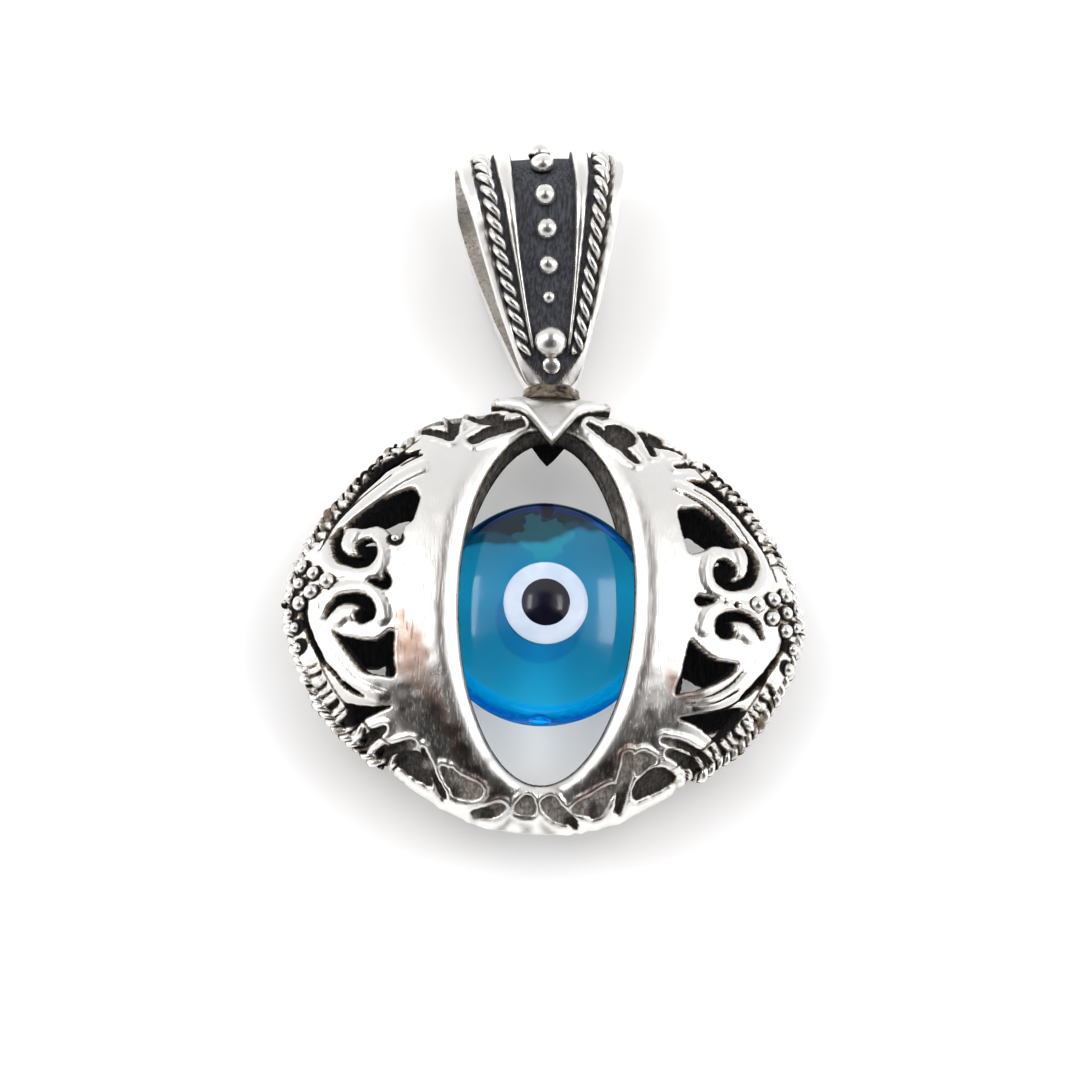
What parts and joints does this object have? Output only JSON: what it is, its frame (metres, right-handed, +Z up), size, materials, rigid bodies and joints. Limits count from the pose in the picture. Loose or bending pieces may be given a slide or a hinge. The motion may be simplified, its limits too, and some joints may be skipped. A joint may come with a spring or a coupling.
{
  "type": "evil eye pendant",
  "caption": "Pierced domed silver pendant that traps a transparent blue glass eye bead behind an oval window, with a folded collar and a fluted bail for a chain.",
  "frame": {"origin": "on the surface that the pendant lies on, under the middle of its box", "axes": "+X to the right of the face, +Y along the pendant towards the bail, +Z up, out of its face"},
  "size_m": [0.0264, 0.0354, 0.0082],
  "materials": {
    "silver": "polished sterling silver, black and brown with oxide in its recesses",
    "bail_silver": "polished sterling silver, blackened channel between bright ridges",
    "blue_glass": "transparent turquoise glass, fire polished",
    "white_glass": "opaque white glass with a blue tint",
    "dark_glass": "almost black blue glass"
  },
  "bodies": {
    "root": {"case": "silver", "collar": "silver", "bail": "bail_silver", "bead_glass": "blue_glass", "eye_white": "white_glass", "eye_pupil": "dark_glass"}
  },
  "joints": []
}
